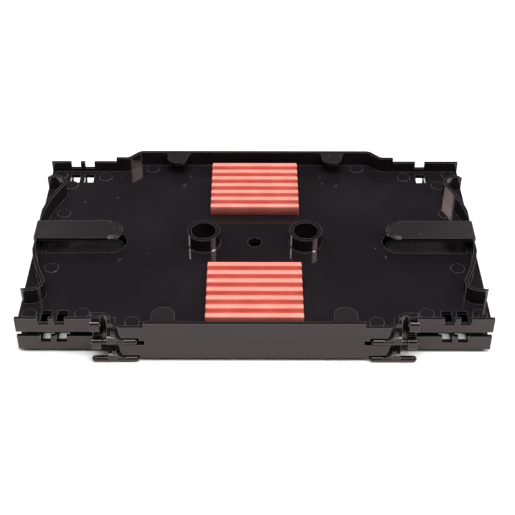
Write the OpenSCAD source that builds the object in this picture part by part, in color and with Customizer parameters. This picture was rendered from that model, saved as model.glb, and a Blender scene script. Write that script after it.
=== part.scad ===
// Hinged pair of fibre splice trays.
// Two equal moulded trays are stacked; the upper one swings up on the two cross bars at its front edge,
// which snap into the open clips of the lower one. Each tray carries two ribbed splice holders.
// The frame stands at the centre hole of the lower tray, on its underside. Millimetres, +Z up.

/* [Tray] */
// Length of a tray along X
tray_length = 160; // [154:1:180]
// Depth over the outer faces of the corner walls
corner_depth = 90; // [88:0.5:92]
// Depth over the outer faces of the two middle walls
middle_depth = 98.6; // [97.6:0.2:100]
// Thickness of the floor
floor_t = 1.7; // [1.5:0.1:2.2]
// Thickness of every wall
wall_t = 1.2; // [1:0.1:1.4]
// Height of the main walls above the floor
wall_h = 6.1; // [5.8:0.1:8]
// Height of the corner walls above the floor
corner_h = 4.2; // [3.6:0.1:4.8]
// Gap between two closed trays
stack_gap = 0.2; // [0.15:0.05:0.3]

/* [Long sides] */
// Half length of the straight middle wall
middle_half = 43.9; // [43:0.1:45]
// Bend radius of the sweep from the middle wall to the corner wall, at its middle line
sweep_r = 2.8; // [2:0.1:3]
// Slope of that sweep
sweep_angle = 45; // [40:1:50]
// Where the high wall steps down to the corner wall
step_x = 54.4; // [54.4:0.1:56]

/* [Ends] */
// Radius of the long bend of an end wall, at its middle line
end_r = 60; // [58:1:70]
// Radius of the curl beside each fibre entry, at its middle line
curl_r = 4; // [3:0.5:5]
// Floor left outside the bulge of an end wall
end_land = 0.1; // [0.05:0.05:0.4]
// Distance of the tab beside each entry from the centre line, at its middle line
entry_y = 32.4; // [31:0.2:34]

/* [Fibre guides] */
// Width of the long tongues
tongue_w = 10; // [8:0.5:12]
// Distance of a tongue's tip from the centre
tongue_tip = 47.7; // [44:0.1:56]
// Thickness of a tongue
tongue_t = 1.3; // [1:0.1:1.5]
// Width of the bevel round a tongue's tip
tip_bevel = 1.4; // [0.6:0.1:2]
// Depth of that bevel
tip_bevel_h = 0.5; // [0.2:0.1:0.8]
// Gap between a tongue's outline and the floor slot below it
slot_gap = 1.1; // [0.6:0.1:1.4]
// Floor left between that slot and the outermost face of the end wall
slot_land = 3; // [2.6:0.1:6]
// Width of the four retaining tabs
tab_w = 7.8; // [6:0.1:8.4]
// Reach of a retaining tab from the wall
tab_reach = 7.1; // [6:0.1:8]
// Thickness of a retaining tab
tab_t = 1.2; // [0.8:0.1:1.4]
// Distance of a retaining tab from the centre
tab_x = 30.3; // [26:0.1:30.5]
// Radius of the fillets where a tab meets the wall
tab_fillet = 1.8; // [0.8:0.1:2]

/* [Posts and holes] */
// Outer diameter of the two hollow posts
post_d = 11.9; // [11:0.1:14]
// Bore of the posts
post_bore = 9; // [8:0.1:9.6]
// Height of the posts above the floor
post_h = 5.5; // [4:0.1:5.6]
// Distance of a post from the centre
post_x = 18.5; // [17:0.1:24]
// Bevel round the foot of a post
post_foot = 0.35; // [0.2:0.05:0.6]
// Diameter of the centre hole
centre_d = 5; // [3:0.1:8]

/* [Tie points] */
// Width of the tie notches in the corner walls
notch_w = 3.6; // [3:0.1:4.2]
// Floor to the bottom of a tie notch
notch_sill = 1.45; // [1:0.05:2]
// Distance of the outer notch from the end of the tray
notch_end = 9.55; // [9:0.05:10.5]
// Distance between the two notches of a corner
notch_pitch = 5.4; // [5:0.1:6]
// Length of the floor window behind each notch
window_l = 5.4; // [4:0.1:6]
// Distance of those windows from the wall
window_off = 2; // [1.5:0.1:3]

/* [Hinge] */
// Diameter of the cross bars
bar_d = 2.1; // [1.9:0.05:2.2]
// Length of a cross bar
bar_l = 15.9; // [15.5:0.1:16.2]
// Distance of a cross bar's middle from the centre
bar_x = 46.75; // [46.6:0.05:46.9]
// Height of the hinge line below the tray's underside
bar_drop = 0.45; // [0.45:0.05:0.6]
// Distance of the hinge line behind the middle wall's outer face
bar_inset = 0.25; // [0.1:0.05:0.25]
// Inner side of the arm that carries a cross bar
arm_x = 46.2; // [46:0.1:46.4]
// Width of that arm
arm_w = 2.75; // [2.2:0.05:2.8]
// Radius of the web between the arm and the bar's inner half
arm_web_r = 3.2; // [2.4:0.1:3.4]
// Distance of a clip's middle from the centre
clip_x = 52.35; // [52.2:0.05:52.5]
// Width of a clip
clip_w = 3.1; // [2.6:0.1:3.2]
// Thickness of the clip round the bar
clip_jaw = 1.1; // [0.9:0.05:1.2]
// Outer corner radius of a clip
clip_round = 1.2; // [0.8:0.05:1.3]
// Mouth of a clip, narrower than the bar
clip_mouth = 1.7; // [1.5:0.05:1.8]
// Radial running clearance of a bar in a clip
bar_clear = 0.05; // [0.02:0.01:0.08]
// Inner end of the low stretches of the front wall, which take the next tray's bars
low_x0 = 36.6; // [36.4:0.1:37]
// Outer end of those low stretches
low_x1 = 47.8; // [47.6:0.1:48]
// Height of those low stretches above the floor
low_h = 4.35; // [4:0.05:4.5]

/* [Splice holders] */
// Length of a splice holder along X
holder_l = 33.1; // [30:0.1:36]
// Height of a splice holder
holder_h = 4.2; // [3.6:0.1:5]
// Number of ribs
rib_count = 7; // [5:1:7]
// Distance between ribs
rib_pitch = 4.35; // [4:0.05:4.4]
// Width of a rib
rib_w = 2; // [1.6:0.1:2.2]
// Depth of the grooves
groove_h = 2.7; // [2:0.1:3]
// Gap between a holder and the middle wall beside it
holder_gap = 4.25; // [4:0.05:6]

/* [Moulding marks] */
// Diameter of the ejector marks
mark_d = 5; // [4:0.1:5.4]
// Height of the ejector marks above the floor
mark_h = 0.15; // [0.1:0.05:0.3]

/* [Hidden] */
$fn = 96;
eps = 0.01;
// Overlap of an arc with the line or arc it runs into
blend = 0.002;
half_l = tray_length / 2;
tray_h = floor_t + wall_h;
pitch = tray_h + stack_gap;

// Middle lines of the corner walls and of the middle walls
corner_y = corner_depth / 2 - wall_t / 2;
middle_y = middle_depth / 2 - wall_t / 2;

// How far the fillets of a retaining tab reach into it and into the wall
tab_root = wall_t / 4;

// The sweep between them: an arc, a straight slope, and an arc the other way
sweep_l = (middle_y - corner_y - 2 * sweep_r * (1 - cos(sweep_angle))) / sin(sweep_angle);
sweep_x = middle_half + 2 * sweep_r * sin(sweep_angle) + sweep_l * cos(sweep_angle);
sweep_dir = [sin(sweep_angle), cos(sweep_angle)];
sweep_c1 = [middle_half, middle_y - sweep_r];
sweep_c2 = [sweep_x, corner_y + sweep_r];

// The end wall: a long bend, and a curl that runs into the tab beside the entry
end_cx = half_l - end_land - wall_t / 2 - end_r;
curl_cy = entry_y - curl_r;
curl_cx = end_cx + sqrt(pow(end_r + curl_r, 2) - pow(curl_cy, 2));

// Hinge line of the tray, and of the tray that hangs in its clips
bar_y = -middle_depth / 2 + bar_inset;
bar_z = -bar_drop;
clip_z = bar_z + pitch;
clip_half = bar_d / 2 + bar_clear + clip_jaw;

// How far the arm's foot reaches behind the hinge line
arm_foot = bar_d * 0.4;

// Hollow at the front of an arm: its radius, and its centre ahead of the arm and above the low wall
hollow_r = 5.2;
hollow_ahead = 2.5;
hollow_above = 0.55;

// How far the web stands back from the bar's front, and how far it reaches behind the hinge line
web_set = 0.2;
web_behind = 0.4;

// Lead-in of a clip's mouth: its depth, and how much it widens on each side
lead_h = 0.5;
lead_w = 0.6;

// Front end of the bracket inside a clip's back
bracket_y = bar_y + clip_half - 0.5;

// Room round the inner half of a bar, under the front wall: gaps at its end, before the arm,
// above the bar and behind it
room_end = 0.4;
room_arm = 1.9;
room_above = 0.7;
room_behind = 0.3;
room_in = bar_x - bar_l / 2 - room_end;
room_out = arm_x - room_arm;
room_top = bar_z + bar_d / 2 + room_above;

holder_d = (rib_count - 1) * rib_pitch + rib_w;
holder_y = middle_y - wall_t / 2 - holder_gap - holder_d / 2;
notch_x = half_l - notch_end - notch_pitch;
groove_w = rib_pitch - rib_w;

// Ejector marks at the back and front corners: distance from the tray's end, and from the corner wall's face
back_marks = [[3.8, 3.8], [8.7, 10.4], [21.4, 5]];
front_marks = [[3.6, 6.8], [21.5, 7.2]];
// Ejector marks beside the end walls: distance from the tray's end, and Y
end_marks = [[8.1, 16.9], [7.8, -14.4]];
// Ejector marks at the middle walls: X, and distance from the middle wall's face
back_mark = [40.4, 3.7];
front_mark = [41.2, 7.3];
marks = concat([for (m = back_marks) [half_l - m.x, corner_depth / 2 - m.y]],
               [for (m = front_marks) [half_l - m.x, m.y - corner_depth / 2]],
               [for (m = end_marks) [half_l - m.x, m.y]],
               [[back_mark.x, middle_depth / 2 - back_mark.y],
                [front_mark.x, front_mark.y - middle_depth / 2]]);

// ---- helpers ----

module both_ends() {
    children();
    mirror([1, 0, 0]) children();
}

module both_sides() {
    children();
    mirror([0, 1, 0]) children();
}

// A box from its lowest corner to its highest corner
module box(low, high) {
    translate(low) cube(high - low);
}

// Extrudes an outline drawn in Y and Z along X, from x0 to x1
module along_x(x0, x1) {
    translate([x0, 0, 0]) rotate([90, 0, 90]) linear_extrude(x1 - x0) children();
}

// Extrudes an outline drawn in X and Z along Y, from y0 to y1
module along_y(y0, y1) {
    translate([0, y1, 0]) rotate([90, 0, 0]) linear_extrude(y1 - y0) children();
}

// ---- tray ----

// All that lies inside the long walls, out to o beyond their middle line, as far as x = e
module inside_long(o, e) {
    difference() {
        union() {
            square([2 * middle_half, 2 * (middle_y + o)], center = true);
            both_ends() both_sides() {
                translate(sweep_c1) circle(r = sweep_r + o + blend);
                polygon([[middle_half - 1, -1], [middle_half - 1, sweep_c1.y], sweep_c1,
                         sweep_c1 + (sweep_r + o) * sweep_dir, sweep_c2 - (sweep_r - o) * sweep_dir,
                         sweep_c2, [sweep_x, corner_y + o], [e, corner_y + o], [e, -1]]);
            }
        }
        both_ends() both_sides() translate(sweep_c2) circle(r = sweep_r - o + blend);
    }
}

// All that lies outside the +X end wall and between its two tabs, from o beyond their middle line
module beyond_end(o) {
    difference() {
        both_sides() {
            translate([curl_cx, curl_cy]) circle(r = curl_r - o + blend);
            polygon([[end_cx, 0], [curl_cx, curl_cy], [curl_cx, entry_y - o],
                     [half_l + 2 * o, entry_y - o], [half_l + 2 * o, -1], [end_cx, -1]]);
        }
        translate([end_cx, 0]) circle(r = end_r + o);
    }
}

// Outline of a tongue at the +X end, grown by g
module tongue_outline(g, outer_x) {
    round_x = tongue_tip + tongue_w / 2;
    translate([round_x, -tongue_w / 2 - g]) square([outer_x - round_x, tongue_w + 2 * g]);
    translate([round_x, 0]) circle(d = tongue_w + 2 * g);
}

// The two floor windows behind the tie notches in the first quarter
module tie_window(n) {
    translate([notch_x + n * notch_pitch - notch_w / 2,
               corner_y - wall_t / 2 - window_off - window_l])
        square([notch_w, window_l]);
}

module floor_plate() {
    linear_extrude(floor_t) difference() {
        inside_long(0, half_l);
        both_ends() tongue_outline(slot_gap, half_l - slot_land);
        both_ends() both_sides() tie_window(0);
        both_sides() mirror([1, 0, 0]) tie_window(1);
        mirror([0, 1, 0]) tie_window(1);
    }
}

// Corner wall of the first quarter, with as many tie notches as given
module corner_wall(notches) {
    difference() {
        box([step_x, corner_y - wall_t / 2, 0], [half_l, corner_y + wall_t / 2, floor_t + corner_h]);
        for (n = [0 : notches - 1])
            translate([notch_x + n * notch_pitch - notch_w / 2, corner_y - wall_t, floor_t + notch_sill])
                cube([notch_w, 2 * wall_t, corner_h]);
    }
}

module corner_walls() {
    corner_wall(1);
    mirror([1, 0, 0]) corner_wall(2);
    mirror([0, 1, 0]) corner_wall(2);
    mirror([1, 0, 0]) mirror([0, 1, 0]) corner_wall(2);
}

// High walls of both long sides, from step to step
module long_walls() {
    linear_extrude(tray_h) difference() {
        inside_long(wall_t / 2, step_x);
        inside_long(-wall_t / 2, step_x + 1);
    }
}

module end_wall() {
    linear_extrude(tray_h) intersection() {
        difference() {
            beyond_end(-wall_t / 2);
            beyond_end(wall_t / 2);
        }
        square([tray_length, tray_length], center = true);
    }
}

module tongue() {
    round_x = tongue_tip + tongue_w / 2;
    translate([0, 0, tray_h - tongue_t]) {
        linear_extrude(tongue_t - tip_bevel_h) tongue_outline(0, half_l - wall_t / 2);
        translate([round_x, -tongue_w / 2, 0])
            cube([half_l - wall_t / 2 - round_x, tongue_w, tongue_t]);
        translate([round_x, 0, tongue_t - tip_bevel_h])
            cylinder(d1 = tongue_w, d2 = tongue_w - 2 * tip_bevel, h = tip_bevel_h);
    }
}

// Retaining tab of the first quarter, with fillets where it leaves the wall
module retaining_tab() {
    wall_y = middle_y - wall_t / 2;
    translate([0, 0, tray_h - tab_t]) linear_extrude(tab_t) {
        translate([tab_x - tab_w / 2, wall_y - tab_reach + tab_w / 2])
            square([tab_w, tab_reach - tab_w / 2 + wall_t / 2]);
        translate([tab_x, wall_y - tab_reach + tab_w / 2]) circle(d = tab_w);
        translate([tab_x, wall_y]) both_ends() difference() {
            translate([tab_w / 2 - tab_root, -tab_fillet]) square(tab_fillet + tab_root);
            translate([tab_w / 2 + tab_fillet, -tab_fillet]) circle(r = tab_fillet + blend);
        }
    }
}

module post() {
    translate([post_x, 0, 0]) cylinder(d = post_d, h = floor_t + post_h);
    translate([post_x, 0, floor_t])
        cylinder(d1 = post_d + 2 * post_foot, d2 = post_d, h = post_foot);
}

// The ejector marks: low discs on the floor
module ejector_marks() {
    linear_extrude(floor_t + mark_h) both_ends()
        for (p = marks) translate(p) circle(d = mark_d);
}

// ---- hinge, right-hand side ----

// Side view of the arm: straight down to the bar, and hollowed towards the top of the wall
module arm_profile() {
    front = bar_y - bar_d / 2;
    difference() {
        translate([front, bar_z]) square([-corner_y - front, floor_t + low_h - bar_z]);
        translate([front - hollow_ahead, floor_t + low_h + hollow_above]) circle(r = hollow_r);
        translate([bar_y + arm_foot, 2 * bar_z]) square([corner_depth, -2 * bar_z]);
    }
}

// Web between the arm and the inner half of the bar, seen from the front
module web_profile() {
    difference() {
        translate([arm_x - arm_web_r, bar_z]) square([arm_web_r + arm_w / 2, arm_web_r - 2 * bar_z]);
        translate([arm_x - arm_web_r, arm_web_r - bar_z]) circle(r = arm_web_r);
    }
}

module cross_bar() {
    straight = bar_l - bar_d;
    translate([bar_x, bar_y, bar_z]) rotate([0, 90, 0]) rotate_extrude() intersection() {
        union() {
            square([bar_d, straight], center = true);
            for (s = [-1, 1]) translate([0, s * straight / 2]) circle(d = bar_d);
        }
        translate([0, -bar_l / 2]) square([bar_d, bar_l]);
    }
}

module hinge_arm() {
    along_x(arm_x, arm_x + arm_w) arm_profile();
    along_y(bar_y - bar_d / 2 + web_set, bar_y + web_behind) web_profile();
    cross_bar();
}

// Side view of a clip: an open ring with square shoulders, and the bracket that ties it to the wall
module clip_profile() {
    r = clip_round;
    translate([bar_y, clip_z]) difference() {
        union() {
            square([2 * clip_half, 2 * (clip_half - r)], center = true);
            square([2 * (clip_half - r), 2 * clip_half], center = true);
            for (u = [-1, 1], v = [-1, 1])
                translate([u * (clip_half - r), v * (clip_half - r)]) circle(r = r);
        }
        circle(r = bar_d / 2 + bar_clear);
        translate([-clip_mouth / 2, 0]) square([clip_mouth, clip_half + 1]);
        polygon([[-clip_mouth / 2, clip_half - lead_h], [-clip_mouth / 2 - lead_w, clip_half + eps],
                 [clip_mouth / 2 + lead_w, clip_half + eps], [clip_mouth / 2, clip_half - lead_h]]);
    }
    translate([bracket_y, clip_z - clip_half + r])
        square([-corner_y - bracket_y, tray_h - clip_z + clip_half - r]);
}

module clip() {
    along_x(clip_x - clip_w / 2, clip_x + clip_w / 2) clip_profile();
}

// Low stretch of the front wall that takes the bar of the tray above
module low_stretch() {
    box([low_x0, -middle_depth, floor_t + low_h], [low_x1, -corner_y + wall_t, tray_h + 1]);
}

// Room round the inner half of the bar, cut into the bottom of the front wall
module bar_room() {
    box([room_in, -middle_depth, -1], [room_out, bar_y + bar_d / 2 + room_behind, room_top]);
}

// ---- the moulded tray, standing on z = 0 ----

module tray() {
    difference() {
        union() {
            difference() {
                union() {
                    floor_plate();
                    corner_walls();
                    long_walls();
                    both_ends() end_wall();
                }
                both_ends() low_stretch();
                both_ends() bar_room();
            }
            both_ends() tongue();
            both_ends() both_sides() retaining_tab();
            both_ends() post();
            both_ends() hinge_arm();
            both_ends() clip();
            ejector_marks();
        }
        cylinder(d = centre_d, h = 3 * floor_t, center = true);
        both_ends() translate([post_x, 0, -1]) cylinder(d = post_bore, h = tray_h + 2);
    }
}

// ---- splice holder: U grooves between flat ribs ----

module holder_profile() {
    difference() {
        translate([-holder_d / 2, 0]) square([holder_d, holder_h]);
        for (i = [0 : rib_count - 2])
            translate([-holder_d / 2 + rib_w + groove_w / 2 + i * rib_pitch, 0]) {
                translate([-groove_w / 2, holder_h - groove_h + groove_w / 2])
                    square([groove_w, groove_h]);
                translate([0, holder_h - groove_h + groove_w / 2]) circle(d = groove_w);
            }
    }
}

module splice_holder(side) {
    translate([0, side * holder_y, floor_t]) along_x(-holder_l / 2, holder_l / 2) holder_profile();
}

// ---- nodes ----

module lower_tray() {
    color([0.06, 0.055, 0.06]) tray();
}

module lower_back_splice_holder() {
    color([0.9, 0.45, 0.38]) splice_holder(1);
}

module lower_front_splice_holder() {
    color([0.9, 0.45, 0.38]) splice_holder(-1);
}

module upper_tray() {
    color([0.06, 0.055, 0.06]) translate([0, 0, pitch]) tray();
}

module upper_back_splice_holder() {
    color([0.9, 0.45, 0.38]) translate([0, 0, pitch]) splice_holder(1);
}

module upper_front_splice_holder() {
    color([0.9, 0.45, 0.38]) translate([0, 0, pitch]) splice_holder(-1);
}

lower_tray();
lower_back_splice_holder();
lower_front_splice_holder();
upper_tray();
upper_back_splice_holder();
upper_front_splice_holder();
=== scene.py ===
"""Looks of the hinged pair of fibre splice trays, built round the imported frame."""

import math

import bmesh
import bpy
from mathutils import Matrix, Vector, noise


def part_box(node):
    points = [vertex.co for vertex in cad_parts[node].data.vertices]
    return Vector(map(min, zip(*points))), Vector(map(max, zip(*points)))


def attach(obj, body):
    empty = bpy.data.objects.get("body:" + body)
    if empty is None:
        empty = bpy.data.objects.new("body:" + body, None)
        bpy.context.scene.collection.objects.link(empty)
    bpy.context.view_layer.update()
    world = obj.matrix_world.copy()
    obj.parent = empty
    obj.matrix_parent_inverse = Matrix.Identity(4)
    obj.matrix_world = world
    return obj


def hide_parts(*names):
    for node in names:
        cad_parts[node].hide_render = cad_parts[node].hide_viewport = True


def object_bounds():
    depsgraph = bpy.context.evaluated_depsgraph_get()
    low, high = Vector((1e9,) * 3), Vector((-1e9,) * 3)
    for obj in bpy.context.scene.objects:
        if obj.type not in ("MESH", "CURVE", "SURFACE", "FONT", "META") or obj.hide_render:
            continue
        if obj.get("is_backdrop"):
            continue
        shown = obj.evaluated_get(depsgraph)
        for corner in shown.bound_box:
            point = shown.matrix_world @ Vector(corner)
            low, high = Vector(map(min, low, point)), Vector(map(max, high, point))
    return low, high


MM = 0.001
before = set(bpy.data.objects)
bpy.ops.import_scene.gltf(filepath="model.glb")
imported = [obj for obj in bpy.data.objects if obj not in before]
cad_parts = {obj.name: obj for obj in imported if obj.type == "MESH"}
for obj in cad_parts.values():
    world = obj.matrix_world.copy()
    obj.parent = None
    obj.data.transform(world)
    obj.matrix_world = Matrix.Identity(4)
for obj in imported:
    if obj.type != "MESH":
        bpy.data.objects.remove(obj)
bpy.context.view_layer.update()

# Each tray, with a holder that stands on its floor
TRAYS = {
    "lower_tray": "lower_back_splice_holder",
    "upper_tray": "upper_back_splice_holder",
}
# Each splice holder, with the body that it rides on
HOLDERS = {
    "lower_back_splice_holder": "lower",
    "lower_front_splice_holder": "lower",
    "upper_back_splice_holder": "upper",
    "upper_front_splice_holder": "upper",
}

# Tray areas with an eroded finish, in mm: the tops of the tongues and of the retaining tabs
SKIN_H = 4.625
TONGUE_TIP = 47.35
TONGUE_HALF = 5.25
TAB_X = 30.3
TAB_HALF = 4.05
TAB_TIP = 40.65
TAB_ROOT = 48.15
# Half width of the change from one finish to the other
SOFT = 0.15
SKIN_SOFT = 0.125

# Plastic colours, linear
FLOOR_DARK = (0.0085, 0.0068, 0.0085, 1)
FLOOR_PALE = (0.0125, 0.0098, 0.0115, 1)
WORN_DARK = (0.006, 0.005, 0.0055, 1)
WORN_PALE = (0.022, 0.019, 0.02, 1)
# Painted highlight: the pale grey laid on the band along every edge
EDGE_HIGHLIGHT_GREY = (0.17, 0.158, 0.152, 1)
DUST_GREY = (0.33, 0.31, 0.3, 1)
PLASTIC_SHEEN = (1.0, 0.82, 0.81, 1)

# Rubber colours, linear: the groove colours hold painted shade, the rib colours a painted highlight
GROOVE_SHADE_DARK = (0.62, 0.150, 0.115, 1)
GROOVE_SHADE_PALE = (0.71, 0.190, 0.150, 1)
RIB_HIGHLIGHT_DARK = (0.73, 0.225, 0.180, 1)
RIB_HIGHLIGHT_PALE = (0.81, 0.270, 0.220, 1)
RUBBER_SPECK = (0.93, 0.46, 0.38, 1)

# Bevel on the trays' edges, and the band beside each edge that gets a painted highlight
EDGE_BEVEL = 0.16 * MM
EDGE_HIGHLIGHT_BAND = 0.22 * MM

# Section of a splice holder
RIBS = 7
RIB_PITCH = 4.35 * MM
RIB_W = 2.0 * MM
GROOVE_H = 2.7 * MM
RIB_ROUND = 0.32 * MM
FOOT = 0.18 * MM
END_ROUND = 0.42 * MM
END_STEPS = 4
SPANS = 44
# Waviness of the moulded rubber
WAVE = 0.07 * MM
SINK = 0.08 * MM


# ---------------------------------------------------------------- materials


class Nodes:
    """A short way to write a node tree."""

    def __init__(self, name):
        self.mat = bpy.data.materials.new(name)
        self.mat.use_nodes = True
        self.tree = self.mat.node_tree
        self.tree.nodes.clear()

    def add(self, kind, **settings):
        node = self.tree.nodes.new(kind)
        for key, value in settings.items():
            if hasattr(node, key):
                setattr(node, key, value)
        return node

    def link(self, a, b):
        self.tree.links.new(a, b)

    def put(self, value, socket):
        if isinstance(value, bpy.types.NodeSocket):
            self.link(value, socket)
        else:
            socket.default_value = value

    def math(self, op, a, b=None, clamp=False):
        node = self.add("ShaderNodeMath", operation=op, use_clamp=clamp)
        for i, v in enumerate((a, b)):
            if v is not None:
                self.put(v, node.inputs[i])
        return node.outputs[0]

    def ramp(self, value, lo, hi, out_lo=0.0, out_hi=1.0):
        node = self.add("ShaderNodeMapRange", clamp=True, interpolation_type="SMOOTHSTEP")
        self.put(value, node.inputs["Value"])
        node.inputs["From Min"].default_value = lo
        node.inputs["From Max"].default_value = hi
        node.inputs["To Min"].default_value = out_lo
        node.inputs["To Max"].default_value = out_hi
        return node.outputs["Result"]

    def beyond(self, value, edge, soft=SOFT):
        """1 where value is past edge, both in mm."""
        return self.ramp(value, (edge - soft) * MM, (edge + soft) * MM)

    def within(self, value, edge):
        """1 where value is short of edge, both in mm."""
        return self.ramp(value, (edge + SOFT) * MM, (edge - SOFT) * MM)

    def noise(self, vector, scale, detail, rough):
        node = self.add("ShaderNodeTexNoise")
        self.link(vector, node.inputs["Vector"])
        node.inputs["Scale"].default_value = scale
        node.inputs["Detail"].default_value = detail
        node.inputs["Roughness"].default_value = rough
        return node.outputs["Fac"]

    def mix(self, fac, a, b):
        node = self.add("ShaderNodeMix", data_type="RGBA")
        for i, value in ((0, fac), (6, a), (7, b)):
            self.put(value, node.inputs[i])
        return node.outputs[2]

    def split(self, vector):
        """The three coordinates of a vector."""
        node = self.add("ShaderNodeSeparateXYZ")
        self.link(vector, node.inputs[0])
        return node.outputs

    def place(self, x, y):
        """Object coordinates, and the same ones shifted so that no two pieces have the same pattern."""
        coord = self.add("ShaderNodeTexCoord").outputs["Object"]
        shift = self.add("ShaderNodeMapping")
        self.link(coord, shift.inputs["Vector"])
        shift.inputs["Location"].default_value = (x, y, 0.0)
        return coord, shift.outputs["Vector"]

    def edges(self, radius, lo, hi):
        """1 on a band of that radius beside every edge, from how far the rounded normal leans away."""
        soft = self.add("ShaderNodeBevel", samples=4)
        soft.inputs["Radius"].default_value = radius
        dot = self.add("ShaderNodeVectorMath", operation="DOT_PRODUCT")
        self.link(soft.outputs["Normal"], dot.inputs[0])
        self.link(self.add("ShaderNodeNewGeometry").outputs["Normal"], dot.inputs[1])
        return self.ramp(dot.outputs["Value"], hi, lo)

    def bump(self, height, strength, distance, normal=None):
        node = self.add("ShaderNodeBump")
        self.put(height, node.inputs["Height"])
        node.inputs["Strength"].default_value = strength
        node.inputs["Distance"].default_value = distance
        if normal is not None:
            self.link(normal, node.inputs["Normal"])
        return node.outputs["Normal"]

    def shader(self, colour, rough, normal, ior):
        node = self.add("ShaderNodeBsdfPrincipled")
        self.link(colour, node.inputs["Base Color"])
        self.link(rough, node.inputs["Roughness"])
        self.link(normal, node.inputs["Normal"])
        node.inputs["IOR"].default_value = ior
        return node

    def finish(self, shader):
        out = self.add("ShaderNodeOutputMaterial")
        self.link(shader.outputs[0], out.inputs["Surface"])
        return self.mat


def eroded_areas(n, coord, z_floor):
    """1 on the upper skins of the tongues and of the retaining tabs."""
    x, y, z = n.split(coord)
    ax = n.math("ABSOLUTE", x)
    ay = n.math("ABSOLUTE", y)
    high = n.beyond(n.math("SUBTRACT", z, z_floor), SKIN_H, SKIN_SOFT)
    tongue = n.math("MULTIPLY", n.beyond(ax, TONGUE_TIP), n.within(ay, TONGUE_HALF))
    from_tab = n.math("ABSOLUTE", n.math("SUBTRACT", ax, TAB_X * MM))
    along = n.math("MULTIPLY", n.beyond(ay, TAB_TIP), n.within(ay, TAB_ROOT))
    tab = n.math("MULTIPLY", n.within(from_tab, TAB_HALF), along)
    skins = n.math("ADD", n.math("MULTIPLY", high, tongue), n.math("MULTIPLY", high, tab), clamp=True)
    normal = n.split(n.add("ShaderNodeNewGeometry").outputs["Normal"])
    return n.math("MULTIPLY", skins, n.ramp(normal[2], 0.5, 0.8))


def dust_specks(n, at, cloud, matt):
    """1 on a few dust specks, more of them on the eroded areas."""
    cells = n.add("ShaderNodeTexVoronoi", feature="F1")
    n.link(at, cells.inputs["Vector"])
    cells.inputs["Scale"].default_value = 560.0
    pick = n.add("ShaderNodeSeparateColor")
    n.link(cells.outputs["Color"], pick.inputs[0])
    lot = n.math("ADD", pick.outputs[0], n.math("MULTIPLY", matt, 0.1))
    speck = n.math("MULTIPLY", n.ramp(cells.outputs["Distance"], 0.12, 0.05), n.ramp(lot, 0.92, 0.95))
    return n.math("MULTIPLY", speck, n.ramp(cloud, 0.42, 0.62))


def tray_plastic(name, z_floor, seed):
    """Black ABS: polished, with flow marks and dust, a painted highlight along every edge, and eroded on
    the tongues and tabs.
    """
    n = Nodes(name)
    coord, at = n.place(seed, seed * 0.7)
    matt = eroded_areas(n, coord, z_floor)
    # edge: the band along every edge, painted paler as a highlight and made rougher
    edge = n.edges(EDGE_HIGHLIGHT_BAND, 0.86, 0.985)
    flow = n.noise(at, 28.0, 4.0, 0.55)
    cloud = n.noise(at, 90.0, 5.0, 0.6)
    grain = n.noise(at, 5200.0, 2.0, 0.6)
    dust = dust_specks(n, at, cloud, matt)

    base = n.mix(n.ramp(flow, 0.35, 0.7), FLOOR_DARK, FLOOR_PALE)
    worn = n.mix(n.ramp(grain, 0.35, 0.65), WORN_DARK, WORN_PALE)
    colour = n.mix(matt, base, worn)
    # Painted highlight along every edge
    colour = n.mix(n.math("MULTIPLY", edge, 0.8), colour, EDGE_HIGHLIGHT_GREY)
    colour = n.mix(n.math("MULTIPLY", dust, 0.75), colour, DUST_GREY)

    gloss = n.ramp(cloud, 0.3, 0.75, 0.075, 0.13)
    polished = n.math("MULTIPLY", gloss, n.math("SUBTRACT", 1.0, matt))
    rough = n.math("ADD", polished, n.math("MULTIPLY", matt, 0.23))
    rough = n.math("MAXIMUM", rough, n.math("MULTIPLY", edge, 0.36))
    rough = n.math("MAXIMUM", rough, n.math("MULTIPLY", dust, 0.8))

    height = n.math("ADD", n.math("MULTIPLY", flow, 0.55), n.math("MULTIPLY", cloud, 0.12))
    normal = n.bump(height, 0.16, 0.0006)
    normal = n.bump(n.math("MULTIPLY", grain, matt), 0.35, 0.00008, normal)
    normal = n.bump(dust, 0.6, 0.00012, normal)

    shader = n.shader(colour, rough, normal, 1.5)
    shader.inputs["Specular Tint"].default_value = PLASTIC_SHEEN
    return n.finish(shader)


def holder_rubber(name, z_top, seed):
    """Coral silicone: mottled and satin, with fine moulding grain; painted paler at the rib tops as a
    highlight and darker down the grooves as shade.
    """
    n = Nodes(name)
    coord, at = n.place(seed, -seed * 0.4)
    cloud = n.noise(at, 150.0, 4.0, 0.6)
    fine = n.noise(at, 900.0, 3.0, 0.6)
    grain = n.noise(at, 6500.0, 2.0, 0.5)

    # Painted light: paler near the top of the ribs as a highlight, darker lower down in the grooves as
    # shade
    lit_top = n.ramp(n.split(coord)[2], z_top - 1.0 * MM, z_top - 0.15 * MM)
    groove_shade = n.mix(n.ramp(cloud, 0.3, 0.7), GROOVE_SHADE_DARK, GROOVE_SHADE_PALE)
    rib_highlight = n.mix(n.ramp(cloud, 0.3, 0.7), RIB_HIGHLIGHT_DARK, RIB_HIGHLIGHT_PALE)
    colour = n.mix(lit_top, groove_shade, rib_highlight)
    colour = n.mix(n.ramp(fine, 0.62, 0.78, 0.0, 0.3), colour, RUBBER_SPECK)

    height = n.math("ADD", n.math("MULTIPLY", fine, 0.6), n.math("MULTIPLY", grain, 0.25))
    normal = n.bump(height, 0.35, 0.00015)
    shader = n.shader(colour, n.ramp(cloud, 0.25, 0.75, 0.48, 0.6), normal, 1.42)
    shader.inputs["Subsurface Weight"].default_value = 0.25
    shader.inputs["Subsurface Radius"].default_value = (1.0, 0.35, 0.22)
    shader.inputs["Subsurface Scale"].default_value = 0.0008
    return n.finish(shader)


# ---------------------------------------------------------------- trays


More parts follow.
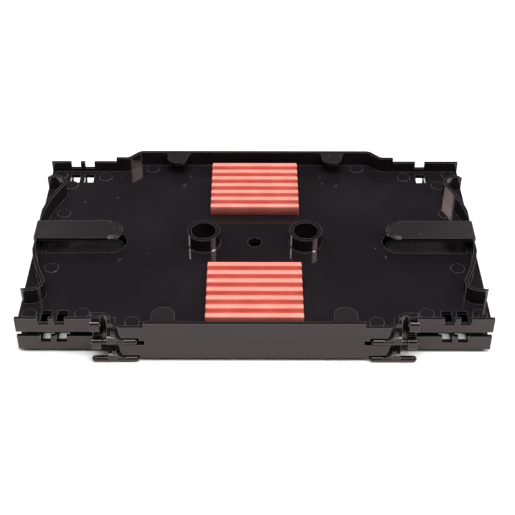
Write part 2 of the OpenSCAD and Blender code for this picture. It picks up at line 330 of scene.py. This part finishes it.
def dress_tray(node, z_floor, seed):
    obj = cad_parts[node]
    obj.data.materials.clear()
    obj.data.materials.append(tray_plastic(node + "_plastic", z_floor, seed))
    bevel = obj.modifiers.new("edges", "BEVEL")
    bevel.width = EDGE_BEVEL
    bevel.segments = 2
    bevel.limit_method = "ANGLE"
    bevel.angle_limit = math.radians(35)
    bevel.use_clamp_overlap = True
    bevel.harden_normals = False


# ---------------------------------------------------------------- splice holders


def rib_profile(depth, height):
    """Top line of a holder's section, front to back: (y, z) points of rounded ribs and U grooves."""
    groove_r = (RIB_PITCH - RIB_W) / 2
    points = []

    def arc(cy, cz, r, a0, a1, steps):
        for i in range(steps + 1):
            a = math.radians(a0 + (a1 - a0) * i / steps)
            points.append((cy + r * math.cos(a), cz + r * math.sin(a)))

    for k in range(RIBS):
        y0 = -depth / 2 + k * RIB_PITCH
        y1 = y0 + RIB_W
        arc(y0 + RIB_ROUND, height - RIB_ROUND, RIB_ROUND, 180, 90, 4)
        points.append(((y0 + y1) / 2, height))
        arc(y1 - RIB_ROUND, height - RIB_ROUND, RIB_ROUND, 90, 0, 4)
        if k < RIBS - 1:
            arc(y1 + groove_r, height - GROOVE_H + groove_r, groove_r, 180, 360, 10)
    return points


def end_stations(length):
    """Places along X, closer at the ends, each with how much the section shrinks there."""
    turns = [math.radians(90 * i / END_STEPS) for i in range(END_STEPS + 1)]
    start = [(-length / 2 + END_ROUND * (1 - math.cos(a)), END_ROUND * (1 - math.sin(a))) for a in turns]
    span = (length - 2 * END_ROUND) / SPANS
    middle = [(-length / 2 + END_ROUND + span * i, 0.0) for i in range(1, SPANS)]
    return start + middle + [(-x, shrink) for x, shrink in reversed(start)]


def rubber_point(x, y, z, shrink, size, seed):
    """Where a point of the section goes: shrunk towards the ends, and waved as moulded rubber is."""
    half = size.y / 2
    yy = y * (1 - shrink / half)
    zz = z - shrink * max(0.0, z - FOOT) / (size.z - FOOT)
    p = Vector((x, yy, zz)) / MM
    lift = min(1.0, z / size.z)
    wave = noise.noise(Vector((p.x * 0.09 + seed, p.y * 0.16, seed * 1.7))) * WAVE
    sink = abs(noise.noise(Vector((p.x * 0.12, p.y * 0.5 + seed, 3.1 + seed)))) * SINK
    yy += wave * lift * (1 - min(1.0, abs(y) / half) ** 8)
    return x, yy, zz - sink * lift


def build_holder(node, body, seed):
    lo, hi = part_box(node)
    size = hi - lo
    mid = (lo + hi) / 2
    half = size.y / 2
    feet = [(half, FOOT), (half - FOOT, 0.0), (-half + FOOT, 0.0)]
    section = [(-half, FOOT)] + rib_profile(size.y, size.z) + feet

    bm = bmesh.new()
    rings = []
    for x, shrink in end_stations(size.x):
        row = []
        for y, z in section:
            px, py, pz = rubber_point(x, y, z, shrink, size, seed)
            row.append(bm.verts.new((mid.x + px, mid.y + py, lo.z + pz)))
        rings.append(row)
    for a, b in zip(rings, rings[1:]):
        for i in range(len(section)):
            j = (i + 1) % len(section)
            bm.faces.new((a[i], a[j], b[j], b[i]))
    bm.faces.new(rings[0])
    bm.faces.new(list(reversed(rings[-1])))
    bmesh.ops.recalc_face_normals(bm, faces=bm.faces)
    mesh = bpy.data.meshes.new(node + "_rubber")
    bm.to_mesh(mesh)
    bm.free()
    for p in mesh.polygons:
        p.use_smooth = True
    obj = bpy.data.objects.new(node + "_rubber", mesh)
    bpy.context.scene.collection.objects.link(obj)
    mesh.materials.append(holder_rubber(node + "_rubber", hi.z, seed))
    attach(obj, body)
    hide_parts(node)


for i, (tray, holder) in enumerate(TRAYS.items()):
    dress_tray(tray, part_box(holder)[0].z, 0.31 + 0.53 * i)
for i, (holder, body) in enumerate(HOLDERS.items()):
    build_holder(holder, body, 1.3 + 2.1 * i)


# ---------------------------------------------------------------- stage and light

# Name, azimuth, elevation, distance, width, height, power and colour of each softbox
LIGHTS = [
    ("top_softbox", 0, 80, 1.2, 1.0, 0.8, 20, (1.0, 1.0, 1.0)),
    ("right_strip", 72, 40, 1.3, 0.7, 0.14, 7, (1.0, 0.96, 0.88)),
    ("left_strip", -122, 40, 1.3, 0.3, 0.14, 3.6, (1.0, 0.97, 0.92)),
    ("back_right_rim", 148, 24, 1.5, 0.5, 0.12, 5, (1.0, 1.0, 1.0)),
    ("back_left_rim", -150, 24, 1.5, 0.4, 0.12, 3.5, (1.0, 1.0, 1.0)),
]
LIGHT_AIM = Vector((0, 0, 0.01))
TABLE_REACH = 6.0
TABLE_WHITE = (0.93, 0.93, 0.93, 1)
SKY_COLOUR = (1.0, 0.98, 1.0, 1)
SKY_STRENGTH = 0.055


def direction(azimuth, elevation):
    """The way to a viewer at that azimuth (0 in front, + to the right) and elevation, in degrees."""
    a = math.radians(azimuth)
    e = math.radians(elevation)
    return Vector((math.sin(a) * math.cos(e), -math.cos(a) * math.cos(e), math.sin(e)))


def emitter(name, azimuth, elevation, distance, width, height, power, colour):
    place = direction(azimuth, elevation) * distance + LIGHT_AIM
    data = bpy.data.lights.new(name, "AREA")
    data.shape = "RECTANGLE"
    data.size = width
    data.size_y = height
    data.energy = power
    data.color = colour
    obj = bpy.data.objects.new(name, data)
    turn = (LIGHT_AIM - place).to_track_quat("-Z", "Y").to_matrix().to_4x4()
    obj.matrix_world = Matrix.Translation(place) @ turn
    bpy.context.scene.collection.objects.link(obj)


def white_table(z):
    r = TABLE_REACH
    mesh = bpy.data.meshes.new("table")
    mesh.from_pydata([(-r, -r, z), (r, -r, z), (r, r, z), (-r, r, z)], [], [(0, 1, 2, 3)])
    table = bpy.data.objects.new("table", mesh)
    bpy.context.scene.collection.objects.link(table)
    n = Nodes("table_white")
    shader = n.add("ShaderNodeBsdfDiffuse")
    shader.inputs["Color"].default_value = TABLE_WHITE
    mesh.materials.append(n.finish(shader))
    table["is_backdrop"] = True


def studio_world():
    """White where the camera sees it, and a dim sky for everything else."""
    world = bpy.data.worlds.new("studio")
    bpy.context.scene.world = world
    world.use_nodes = True
    tree = world.node_tree
    tree.nodes.clear()
    path = tree.nodes.new("ShaderNodeLightPath")
    seen = tree.nodes.new("ShaderNodeBackground")
    seen.inputs["Color"].default_value = (1, 1, 1, 1)
    seen.inputs["Strength"].default_value = 1.0
    sky = tree.nodes.new("ShaderNodeBackground")
    sky.inputs["Color"].default_value = SKY_COLOUR
    sky.inputs["Strength"].default_value = SKY_STRENGTH
    pick = tree.nodes.new("ShaderNodeMixShader")
    tree.links.new(path.outputs["Is Camera Ray"], pick.inputs["Fac"])
    tree.links.new(sky.outputs[0], pick.inputs[1])
    tree.links.new(seen.outputs[0], pick.inputs[2])
    out = tree.nodes.new("ShaderNodeOutputWorld")
    tree.links.new(pick.outputs[0], out.inputs["Surface"])


white_table(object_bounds()[0].z)
studio_world()
for light in LIGHTS:
    emitter(*light)


# ---------------------------------------------------------------- camera

CAMERA_AZIMUTH = 0.019
CAMERA_ELEVATION = 39.743
CAMERA_ROLL = 0.082
CAMERA_DISTANCE = 401.11 * MM
# Distance behind the middle of the upper tray's floor that the camera turns about
CAMERA_TARGET_Y = 0.65 * MM
CAMERA_LENS = 76.55068
CAMERA_SHIFT = (0.0055922, -0.0317864)

camera_data = bpy.data.cameras.new("camera")
camera = bpy.data.objects.new("camera", camera_data)
bpy.context.scene.collection.objects.link(camera)
target = Vector((0, CAMERA_TARGET_Y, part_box("upper_back_splice_holder")[0].z))
back = direction(CAMERA_AZIMUTH, CAMERA_ELEVATION)
turn = back.to_track_quat("Z", "Y").to_matrix().to_4x4()
turn = turn @ Matrix.Rotation(math.radians(CAMERA_ROLL), 4, "Z")
camera.matrix_world = Matrix.Translation(target + back * CAMERA_DISTANCE) @ turn
camera_data.sensor_width = 36
camera_data.lens = CAMERA_LENS
camera_data.shift_x, camera_data.shift_y = CAMERA_SHIFT
camera_data.clip_start = 0.01
bpy.context.scene.camera = camera
bpy.context.scene.view_settings.view_transform = "Standard"
bpy.context.scene.view_settings.look = "None"
